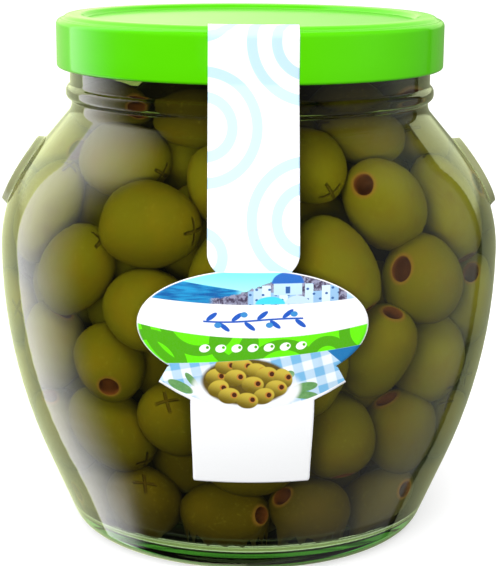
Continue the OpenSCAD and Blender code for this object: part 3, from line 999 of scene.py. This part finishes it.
# The sea view at the top of the oval
sky_colour = label_shader.mix(v.rise(85, 93), ink(176, 250, 252), ink(120, 240, 244))
horizon = 88.6 - (u + 11.0) * 0.13
sea = (horizon - v).rise(-0.15, 0.15) * u.rise(-2.0, -5.0)
waves = label_shader.noise(label_shader.add("ShaderNodeMapping", {}, {
    "Vector": print_uv, "Scale": (0.15, 1.2, 1.0)}), 1.0, 3.0)
sea_colour = label_shader.mix(waves.rise(0.35, 0.65), ink(14, 92, 160), ink(34, 150, 205))
view_colour = cover(sky_colour, sea, sea_colour)
crag = label_shader.noise(print_uv, 0.9, 4.0, 0.7)
headland = 85.4 + (u + 11.0).rise(0.0, 24.0) * 6.2 + (crag - 0.5) * 2.2
rock = (headland - v).rise(-0.2, 0.2) * u.rise(-12.0, -10.0)
rock_colour = label_shader.mix(crag.rise(0.42, 0.58), ink(70, 60, 84), ink(148, 150, 176))
view_colour = cover(view_colour, rock, rock_colour)
stack = (u * 0.45).math("FLOOR", u * 0.45)
step_up = (stack * 2.4).wave() * 1.1
houses = (88.2 + step_up - v).rise(-0.1, 0.1) * u.rise(-1.6, -1.2) * (v - 83.4).rise(0.0, 0.5)
houses = houses * (1.0 - (stack * 5.1 + 1.0).wave().rise(0.55, 0.75) * u.rise(11.0, 12.0))
pane_u = ((u * 1.9).wave() * (v * 2.3 + 0.6).wave()).rise(0.72, 0.8)
house_colour = label_shader.mix((stack * 3.7).wave().rise(-0.6, 0.6), ink(214, 236, 252), ink(150, 190, 226))
house_colour = label_shader.mix(pane_u, house_colour, ink(52, 98, 160))
view_colour = cover(view_colour, houses, house_colour)
dome = dot(8.9, 89.4, 4.2, 3.0) * v.rise(89.3, 89.5)
drum = bar(u, 5.2, 12.6) * bar(v, 86.4, 89.6)
view_colour = cover(view_colour, drum, ink(190, 222, 248))
view_colour = cover(view_colour, bar(u, 8.3, 9.5) * bar(v, 86.8, 88.6), ink(50, 96, 160))
view_colour = cover(view_colour, dome, ink(40, 104, 190))
low_dome = dot(4.4, 84.0, 3.9, 2.0) * v.rise(83.9, 84.1)
view_colour = cover(view_colour, low_dome, ink(70, 212, 232))
view_colour = cover(view_colour, dot(11.4, 84.0, 3.2, 2.2) * v.rise(83.9, 84.1), ink(196, 222, 244))
view_low = 83.8 + u * u * 0.0011
sea_view = oval * (v - view_low).rise(-0.08, 0.08) * v.rise(92.3, 92.1)
printed = cover(printed, sea_view, view_colour)

# A sprig in plain blue line on the white band
sprig = v - 79.6 - (u * 0.16).wave() * 0.5
sprig_line = abs(sprig).rise(0.32, 0.18) * bar(u, -13.0, 13.0)
sprig_parts = [sprig_line]
for k in range(8):
    stem_u = -12.0 + k * 3.3
    stem_v = 79.6 + math.sin(stem_u * 0.16) * 0.5
    side = 1 if k % 2 == 0 else -1
    sprig_parts.append(dot(stem_u + 1.2, stem_v + side * 1.35, 1.75, 0.62, side * 38))
fruit_spots = [(-9.2, 78.2), (-2.4, 81.2), (4.2, 78.4), (10.6, 81.3)]
fruit = any_of([dot(u0, v0, 0.95, 0.75) for u0, v0 in fruit_spots])
printed = cover(printed, any_of(sprig_parts), ink(30, 88, 190))
printed = cover(printed, fruit, ink(60, 140, 205))

# The green band, darker curved bands on it and a row of small olives
band_top = 74.9 + u * u * 0.0026
band_low = 69.0 + u * 0.092
band = oval * (v - band_top).rise(0.08, -0.08) * (v - band_low).rise(-0.08, 0.08)
curls = any_of([ring(*curl) for curl in [
    (-27.0, 66.0, 8.5, 1.5), (-14.5, 80.0, 9.0, 1.5), (-5.0, 73.5, 5.0, 1.5), (8.0, 64.0, 9.0, 1.5),
    (19.5, 69.0, 4.5, 1.4), (31.0, 76.0, 7.0, 1.5), (-14.5, 80.0, 14.0, 1.2)]])
band_colour = label_shader.mix(curls, ink(106, 246, 4), ink(80, 172, 12))
icon_spots = [(-12.6 + k * 4.2, 72.2 + 0.035 * (-12.6 + k * 4.2)) for k in range(7)]
icons = any_of([dot(u0, v0, 1.45, 1.05, 20) for u0, v0 in icon_spots])
pips = any_of([dot(u0 + 0.72, v0 + 0.28, 0.42, 0.42) for u0, v0 in icon_spots])
band_colour = label_shader.mix(icons * (1.0 - pips), band_colour, ink(252, 255, 248))
printed = cover(printed, band, band_colour)

# The checked tablecloth, leaves and a bowl of olives
cloth_end = 55.0 + u * u * 0.0115
cloth = (v - band_low).rise(0.08, -0.08) * (v - cloth_end).rise(-0.08, 0.08)
weft = ((u * 0.97 + v * 0.24) * 1.2).wave().rise(-0.25, 0.25)
warp = ((v * 0.97 - u * 0.24) * 1.2).wave().rise(-0.25, 0.25)
cloth_colour = label_shader.mix((weft + warp) * 0.5, ink(238, 247, 252), ink(120, 184, 226))
fold_shade = label_shader.noise(print_uv, 0.12, 2.0)
cloth_colour = label_shader.mix(fold_shade.rise(0.5, 0.8) * 0.4, cloth_colour, ink(150, 180, 200))
printed = cover(printed, cloth, cloth_colour)
blue_corner = cloth * (v - (70.4 - (u - 20.0) * 0.95)).rise(-0.1, 0.1) * u.rise(17.0, 17.6)
printed = cover(printed, blue_corner, ink(32, 118, 178))
leaf_l = dot(-19.0, 60.6, 3.6, 1.35, -24) | dot(-16.0, 62.6, 2.6, 0.9, -50)
leaf_r = dot(13.8, 60.9, 3.4, 1.3, 8) | dot(13.6, 58.6, 3.8, 1.1, -6) | dot(9.6, 64.6, 1.4, 1.1, 20)
leaf_colour = label_shader.mix(crag, ink(62, 124, 56), ink(132, 182, 118))
printed = cover(printed, (leaf_l | leaf_r) * cloth, leaf_colour)
bowl = dot(-1.6, 61.0, 14.2, 8.4) * cloth * v.rise(66.0, 60.0)
printed = cover(printed, bowl, ink(244, 247, 249))
bowl_shade = dot(-1.8, 62.6, 11.6, 6.6)
printed = cover(printed, bowl_shade * cloth, ink(96, 78, 20))
bowl_olives = [(-9.6, 63.9, 20), (-7.0, 67.0, 5), (-2.6, 66.9, -8), (1.2, 65.6, -20), (-4.6, 63.8, 12),
               (3.6, 64.6, 10), (8.0, 63.6, -60), (-9.0, 60.6, 30), (0.0, 61.9, 4), (6.2, 60.8, -6),
               (-6.2, 58.6, 8), (2.9, 58.6, 20), (-1.4, 57.3, -4)]
for u0, v0, tilt in bowl_olives:
    body_mask = dot(u0, v0, 2.9, 2.3, tilt) * cloth
    pale = (v - v0 + (u - u0) * 0.3).rise(-2.2, 2.0)
    printed = cover(printed, body_mask, label_shader.mix(pale, ink(108, 90, 12), ink(204, 182, 66)))
    printed = cover(printed, dot(u0 + 1.3, v0 + 0.3, 0.95, 0.95) * cloth, ink(190, 128, 50))
    printed = cover(printed, dot(u0 + 1.4, v0 + 0.3, 0.62, 0.66) * cloth, ink(74, 34, 14))

fibre = label_shader.noise(label_spot, 2600.0, 2.0)
sheet_wave = label_shader.noise(label_spot, 60.0, 2.0)
printed = label_shader.mix(fibre.rise(0.3, 0.8) * 0.03, printed, ink(200, 204, 206))
label_bump = label_shader.bump(fibre * 0.15 + sheet_wave, 0.06 * MM, 0.6)
label_paint = label_shader.surface(label_shader.add("ShaderNodeBsdfPrincipled", {}, {
    "Base Color": printed, "Roughness": 0.42 + fibre * 0.1, "Specular IOR Level": 0.25,
    "Normal": label_bump}))
label = mesh_object("label_sheet", label_points, label_faces, label_paint)
if len(label.data.vertices) != len(label_points):
    raise RuntimeError("the label's points were merged")
uv_layer = label.data.uv_layers.new(name="print")
corner_of = np.zeros(len(label.data.loops), dtype=np.int32)
label.data.loops.foreach_get("vertex_index", corner_of)
uv_layer.data.foreach_set("uv", np.array(label_uv)[corner_of].ravel())
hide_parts("label")
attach(label, "root")
